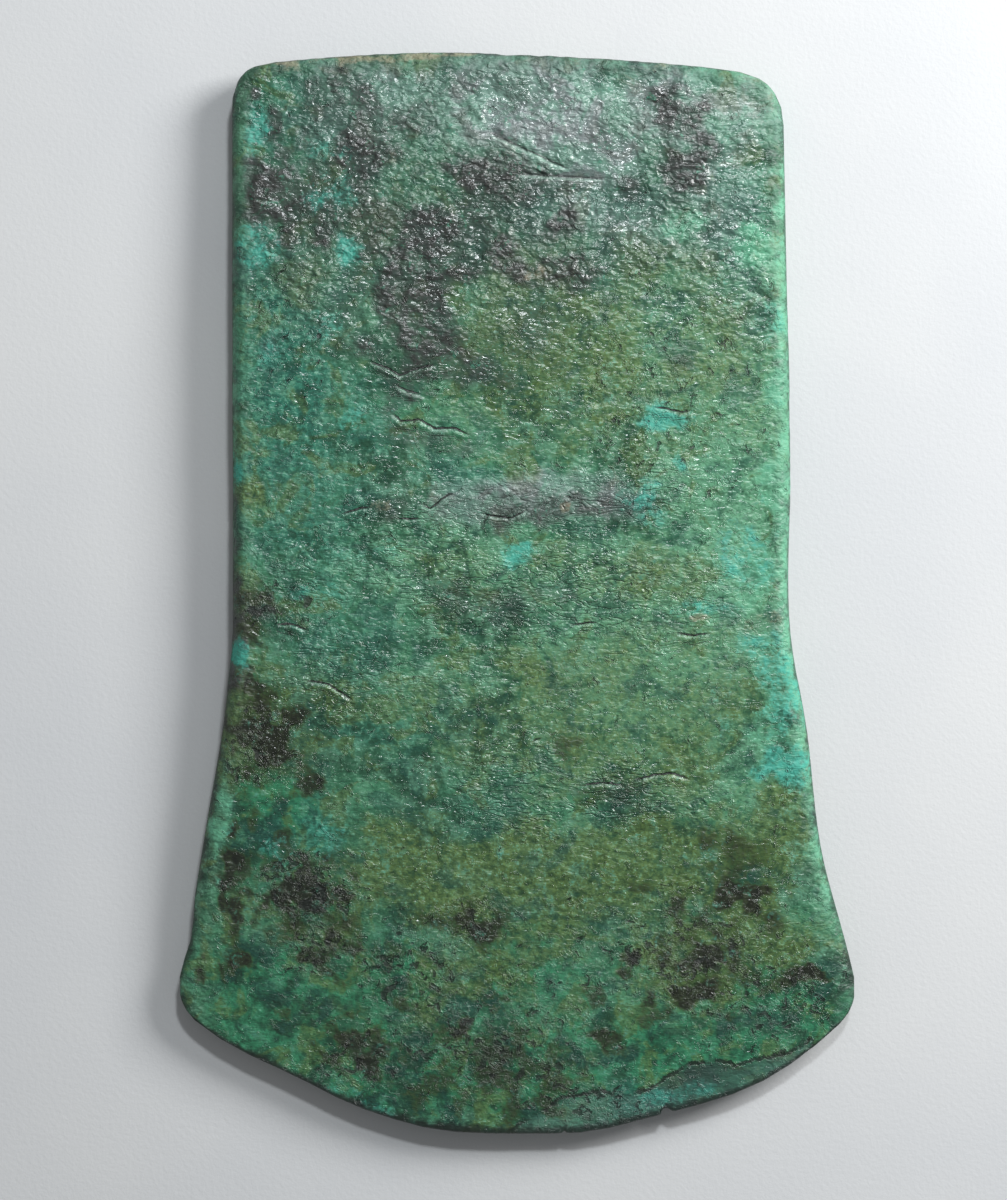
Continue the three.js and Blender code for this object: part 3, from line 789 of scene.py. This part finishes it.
class Patina(Shading):
    """The corroded copper: greens that run into each other, under stains and powder, darkened by dark
    corrosion and painted shade in the hollows and along the rims.
    """

    def __init__(self):
        super().__init__("patinated_copper")
        self.broad = self.noise(size=12, detail=3, roughness=0.5, distortion=0.3)
        self.blotch = self.noise(size=6.5, detail=5, roughness=0.6, distortion=0.6)
        self.medium = self.noise(size=3.4, detail=4, roughness=0.6, distortion=0.3)
        self.small = self.noise(size=1.15, detail=4, roughness=0.65, distortion=0.3)
        self.grain = self.noise(size=0.42, detail=3, roughness=0.65)
        self.uneven = self.add(self.medium, self.small, -1.0)
        wide = self.stretched(0.72, 1.0)
        self.streaks = self.noise(size=1.0, detail=4, roughness=0.72, distortion=0.6, place=wide)
        self.bumps = self.noise(size=0.8, detail=0.8, roughness=0.4, distortion=0.5, place=wide)
        self.swells = self.noise(size=2.2, detail=1.5, roughness=0.5, distortion=0.6, place=wide)
        self.pebbles = self.off_middle(
            self.noise(size=1.5, detail=0.5, roughness=0.4, distortion=0.4, place=wide)
        )
        self.powdered = self.covered("powder", 0.42, 1.2)
        self.marks = self.wrinkle_marks() | self.pit_marks() | self.line_marks()
        # dark corrosion in the pits, with painted shade in the hollows, grooves and creases and along the
        # rims and cutting edge
        self.dirt_and_shade = self.weighted(self.greatest, DIRT_AND_SHADE_SHARES)

    def covered(self, name, width, wander):
        """Where a stain lies: its zone, with an outline torn by finer noise."""
        tear = self.add(self.small, self.medium, self.times(self.grain, 0.6), -1.3)
        torn = self.add(self.attribute(name), self.times(tear, wander))
        return self.ramp(torn, 0.5 - width, 0.5 + width)

    def greens(self):
        """The ground: deep and pale malachite, bluer, yellower and glassier in places, and paler towards the
        right, partly as painted light.
        """
        zone = self.attribute
        plain = self.ramp(zone("enamel"), 0.2, 0.9, 1.0, 0.3)
        plain = self.times(plain, self.ramp(zone("leather"), 0.2, 0.9, 1.0, 0.6))
        fine = self.add(self.times(self.small, 0.6), self.times(self.streaks, 0.4))
        green = self.over(MALACHITE_DEEP, MALACHITE, self.broad, 0.36, 0.62)
        green = self.over(green, MALACHITE_PALE, self.medium, 0.42, 0.68, 0.5)
        sea = self.over(SEA_DEEP, SEA, fine, 0.38, 0.62)
        bluer = self.add(self.times(zone("teal"), 0.95), self.medium, self.times(self.small, 0.5))
        green = self.over(green, sea, bluer, 0.85, 1.6, 0.9)
        # paler green mostly on the right, partly painted light falling from the right
        fresh_and_painted_light = self.add(zone("fresh_and_painted_light"), self.times(self.uneven, 1.4))
        green = self.over(green, FRESH_GREEN_AND_PAINTED_LIGHT, fresh_and_painted_light, 0.15, 0.95, 0.8)
        olive = self.over(OLIVE_DEEP, OLIVE_GREEN, fine, 0.34, 0.66)
        yellower = self.add(zone("olive"), self.broad, self.times(self.small, 0.8))
        green = self.over(green, olive, yellower, 1.05, 1.7, 0.85)
        clouded = self.add(self.times(self.medium, 0.5), self.times(self.blotch, 0.5))
        emerald = self.over(EMERALD_DEEP, EMERALD, clouded, 0.4, 0.59)
        glassier = self.add(zone("enamel"), self.times(self.add(self.medium, -0.5), 1.4))
        green = self.over(green, emerald, glassier, 0.25, 0.85, 0.85)
        green = self.over(green, olive, self.blotch, 0.53, 0.62, 0.65)
        green = self.over(green, SEA_DEEP, self.blotch, 0.47, 0.38, 0.55)
        cloud = self.add(self.medium, self.times(self.small, 0.5))
        green = self.over(green, MALACHITE_PALE, cloud, 0.82, 0.94, plain, 0.3)
        green = self.over(green, MALACHITE_DEEP, cloud, 0.7, 0.58, plain, 0.3)
        green = self.over(green, LICHEN_GREY, zone("leather"), 0.1, 0.9, 0.45)
        green = self.over(green, MALACHITE_DEEP, self.streaks, 0.5, 0.68, plain, 0.45)
        flecks = self.add(self.times(self.grain, 0.6), self.times(self.small, 0.4))
        green = self.over(green, MALACHITE_PALE, flecks, 0.53, 0.66, plain, 0.65)
        return self.over(green, MALACHITE_DEEP, flecks, 0.46, 0.36, 0.5)

    def stained(self, colour):
        """The ground under its stains: a pale lilac-grey veil that is partly painted sheen, grey, brown with
        its halo, pale green rims that are partly painted light, turquoise and tan.
        """
        # a pale veil, partly painted sheen
        haze_and_sheen = self.over(HAZE_AND_SHEEN_GREEN, HAZE_AND_SHEEN_LILAC, self.blotch, 0.44, 0.58)
        colour = self.mix(self.times(self.covered("haze_and_sheen", 0.45, 0.7), 0.6), colour, haze_and_sheen)
        dusk = self.over(DUSK_GREY, DUSK_BROWN, self.small, 0.4, 0.62)
        bare = self.ramp(self.swells, 0.38, 0.56, 0.7, 0.96)
        colour = self.mix(self.times(self.covered("dusk", 0.38, 0.8), bare), colour, dusk)
        halo = self.add(self.attribute("umber"), self.times(self.uneven, 1.2))
        colour = self.over(colour, HALO_OLIVE, halo, 0.08, 0.5, 0.6)
        umber = self.over(UMBER_DARK, UMBER_GREEN, self.small, 0.42, 0.66)
        colour = self.mix(self.times(self.covered("umber", 0.26, 0.9), 0.9), colour, umber)
        mottled = self.ramp(self.medium, 0.4, 0.58, 0.45, 0.85)
        # pale green rims, partly painted light
        colour = self.mix(self.times(self.covered("mint_and_rim_light", 0.4, 0.9), mottled), colour, MINT_GREEN_AND_RIM_LIGHT)
        specks = self.ramp(self.small, 0.36, 0.6, 0.5, 0.9)
        colour = self.mix(self.times(self.powdered, specks), colour, TURQUOISE)
        return self.mix(self.times(self.covered("tan", 0.25, 0.8), 0.7), colour, TAN_PALE)

    def wandering(self, name, wander, shift=0.0):
        """A distance whose zero is a ragged line."""
        return self.add(self.attribute(name), self.times(self.add(self.small, -0.5), wander), shift)

    def line(self, name, half_width, wander, shift=0.0):
        """A thin torn line along the zero of a distance."""
        place = self.wandering(name, wander, shift)
        return self.ramp(self.math("ABSOLUTE", place), half_width, half_width * 0.25)

    def greatest(self, *values):
        top = values[0]
        for value in values[1:]:
            top = self.math("MAXIMUM", top, value)
        return top

    def off_middle(self, noise):
        """How far a noise is from its middle: a net of thin lines where it is 0."""
        return self.math("ABSOLUTE", self.add(noise, -0.5))

    def weighted(self, join, shares):
        """The marks, each times its share, joined by adding them or by taking the greatest."""
        return join(*[self.times(self.marks[name], share) for name, share in shares.items()])

    def wrinkle_marks(self):
        """Folds that run across the plate, with a crease between them."""
        wrinkles = self.noise(
            size=1.2, detail=2, roughness=0.5, distortion=0.7, place=self.stretched(0.36, 1.0)
        )
        folds = self.ramp(self.off_middle(wrinkles), 0.0, 0.09)
        where = self.add(self.attribute("wrinkles"), self.medium, -0.5)
        wrinkled = self.ramp(where, 0.1, 0.9, 0.15, 0.85)
        return {
            "folds": self.times(folds, wrinkled),
            "wrinkles": self.times(wrinkles, wrinkled),
            # painted shade in the creases between the folds
            "crease_shade": self.times(self.ramp(folds, 0.35, 0.0), wrinkled),
        }

    def pit_marks(self):
        """Pits with a lip round them, and thin curled ridges between them."""
        pitted = self.attribute("pitted")
        pitting = self.noise(size=2.1, detail=4, roughness=0.65, distortion=0.6)
        pitting = self.add(pitting, self.times(pitted, 0.14))
        pits = self.ramp(pitting, 0.66, 0.73)
        curls = self.off_middle(self.noise(size=1.9, detail=2, roughness=0.6, distortion=1.4))
        curled = self.times(self.ramp(self.small, 0.46, 0.56), self.ramp(pitted, 0.1, 0.7))
        return {
            "pits": pits,
            "pit_lips": self.times(self.ramp(pitting, 0.58, 0.64), self.ramp(pits, 0.4, 0.0)),
            # thin curled ridges, paled partly as a painted highlight
            "curls": self.times(self.ramp(curls, 0.035, 0.0), curled),
            # painted shade where the relief is sunk in
            "sunk": self.ramp(self.attribute("height"), -0.12, -0.4),
        }

    def line_marks(self):
        """Painted shadow and shade along the cutting edge and the sides, dark cracks and cut stroke grooves
        with painted highlights below them, and the line of the flaked strip.
        """
        zone = self.attribute
        ragged = self.times(self.uneven, 2.0)
        broken = self.ramp(self.grain, 0.4, 0.6)
        beside = self.wandering("crack", 0.7)
        return {
            # painted shadow along the cutting edge, and painted shade where the sides roll away
            "edge": self.ramp(self.add(zone("edge"), ragged), 2.6, 0.8),
            "side": self.ramp(self.add(zone("side"), ragged), 1.0, 0.0),
            # the cracks darkened, partly as painted shade, and a painted highlight on the lip below each
            "cracks": self.times(self.line("crack", 0.26, 0.7), zone("crack_open")),
            "lips": self.times(
                self.ramp(beside, -0.05, -0.7), self.ramp(beside, -1.6, -0.8), zone("crack_open")
            ),
            "lip_highlights": self.times(self.line("crack", 0.22, 0.7, 0.36), zone("crack_open"), broken),
            # painted shade in the cut stroke grooves and a painted highlight along their lower side
            "stroke_shade": self.times(self.line("stroke", 0.28, 0.2), zone("stroke_open")),
            "stroke_highlights": self.times(self.line("stroke", 0.4, 0.4, 0.5), zone("stroke_open")),
            # the flaked strip's dark line, partly painted shade at its step
            "scar": self.times(
                self.line("scar_line", 0.55, 1.8), self.ramp(self.blotch, 0.42, 0.54, 0.15, 1.0)
            ),
        }

    def colour(self):
        """The greens, flaked behind the cutting edge, stained, with painted highlights by the cracks and the
        cut stroke lines, and darkened by corrosion and painted shade in the hollows.
        """
        flake = self.over(SCAR_GREY, SCAR_LILAC, self.medium, 0.48, 0.64)
        ground = self.mix(self.times(self.attribute("scar"), 0.5), self.greens(), flake)
        # painted highlights on the crack lips, beside the cut stroke grooves and partly on the curled ridges
        pale = self.weighted(self.greatest, PAINTED_HIGHLIGHT_SHARES)
        colour = self.mix(pale, self.stained(ground), HIGHLIGHT_PALE)
        # dark corrosion and painted shade darken the colour
        return self.mix(self.dirt_and_shade, colour, PIT_AND_SHADE_DARK)

    def height(self):
        """The finest relief in millimetres: coarse where the ground is leathery, pitted or near a rim."""
        zone = self.attribute
        patchy = self.ramp(self.add(self.broad, self.times(zone("dusk"), 0.15)), 0.4, 0.6, 0.35, 1.0)
        leathery = self.greatest(
            self.times(self.ramp(zone("leather"), 0.1, 0.85), patchy),
            self.times(zone("pitted"), 0.3),
            self.ramp(zone("side"), 7, 2, 0, 0.4),
        )
        return self.add(
            self.times(self.bumps, self.ramp(leathery, 0, 1, *BUMP_HEIGHTS)),
            self.times(self.swells, self.ramp(leathery, 0, 1, *SWELL_HEIGHTS)),
            self.times(self.pebbles, self.ramp(leathery, 0, 1, *PEBBLE_HEIGHTS)),
            self.times(self.small, self.ramp(zone("enamel"), 0.2, 0.9, 0.06, 0.05)),
            self.times(self.grain, 0.015),
            self.weighted(self.add, MARK_HEIGHTS),
        )

    def roughness(self):
        """Waxy ground, duller under powder, where corrosion and painted shade darken it, and along the rims.
        """
        return self.add(
            self.ramp(self.add(self.small, self.broad), 0.8, 1.2, 0.2, 0.38),
            self.times(self.powdered, 0.18),
            self.times(self.dirt_and_shade, 0.2),
            self.ramp(self.attribute("side"), 5, 2, 0, 0.3),
        )

    def make(self):
        """Links the colour, the relief and the roughness to the shader."""
        self.links.new(self.colour(), self.shader.inputs["Base Color"])
        self.links.new(self.bump(self.height()), self.shader.inputs["Normal"])
        self.links.new(self.roughness(), self.shader.inputs["Roughness"])
        self.shader.inputs["Specular IOR Level"].default_value = WAXY_GLOSS
        return self.material


BOARD_GREY = linear(209, 211, 213)
BOARD_PALE = linear(217, 218, 218)
BOARD_GLOSS = 0.3
TOOTH_HEIGHT = 0.05


def floor_material():
    """A pale matt board with a faint tooth."""
    s = Shading("pale_board")
    cloud = s.noise(size=120, detail=4, roughness=0.6)
    tooth = s.noise(size=0.9, detail=3, roughness=0.6)
    colour = s.over(BOARD_GREY, BOARD_PALE, cloud, 0.3, 0.7)
    s.links.new(colour, s.shader.inputs["Base Color"])
    s.links.new(s.ramp(tooth, 0.3, 0.7, 0.66, 0.78), s.shader.inputs["Roughness"])
    s.links.new(s.bump(s.times(tooth, TOOTH_HEIGHT)), s.shader.inputs["Normal"])
    s.shader.inputs["Specular IOR Level"].default_value = BOARD_GLOSS
    return s.material


# The scene
def add_object(name, data, location=(0, 0, 0)):
    made = bpy.data.objects.new(name, data)
    made.location = location
    bpy.context.scene.collection.objects.link(made)
    return made


def aim(thing, target):
    thing.rotation_euler = (Vector(target) - thing.location).to_track_quat("-Z", "Y").to_euler()


def softbox(name, location, target, size, watts, colour=(1, 1, 1)):
    """A rectangular soft light, its size in metres across and up."""
    light = bpy.data.lights.new(name, "AREA")
    light.shape = "RECTANGLE"
    light.size, light.size_y = size
    light.energy = watts
    light.color = colour
    aim(add_object(name, light, location), target)


axe = add_object("axe_head_patina", plate_mesh())
axe.data.materials.append(Patina().make())
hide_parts("axe_head")
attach(axe, "root")

FLOOR_HALF = 3.0
floor_mesh = bpy.data.meshes.new("floor")
floor_corners = [(x * FLOOR_HALF, y * FLOOR_HALF, 0) for x, y in ((-1, -1), (1, -1), (1, 1), (-1, 1))]
floor_mesh.from_pydata(floor_corners, [], [(0, 1, 2, 3)])
floor_mesh.materials.append(floor_material())
add_object("floor", floor_mesh)

softbox("key", location=(0.45, 0.29, 0.30), target=(0.02, 0.02, 0), size=(0.28, 0.24), watts=4.5)
softbox(
    "sheen", location=(0.12, 0.50, 0.72), target=(0, 0.04, 0), size=(0.09, 0.07), watts=2.7,
    colour=(0.93, 0.97, 1.0),
)

SURROUND_COLOUR = (0.96, 0.98, 1.0, 1)
SURROUND_STRENGTH = 0.22
world = bpy.data.worlds.new("studio")
world.use_nodes = True
surround = world.node_tree.nodes["Background"]
surround.inputs["Color"].default_value = SURROUND_COLOUR
surround.inputs["Strength"].default_value = SURROUND_STRENGTH
bpy.context.scene.world = world
bpy.context.scene.view_settings.view_transform = "Standard"

# The camera looks straight down, as the photograph does, with the butt at the top of the picture
LENS = 100.0
SENSOR = 36.0
PICTURE_HEIGHT = 211.0 * MM  # what the photograph's height spans at the outline
AIM_X, AIM_Y = -2.37 * MM, -1.2 * MM
FAR_LIMIT = 20.0
camera = bpy.data.cameras.new("camera")
camera.lens = LENS
camera.sensor_width = SENSOR
camera.clip_end = FAR_LIMIT
camera_height = MIDDLE * MM + PICTURE_HEIGHT * LENS / SENSOR
bpy.context.scene.camera = add_object("camera", camera, (AIM_X, AIM_Y, camera_height))
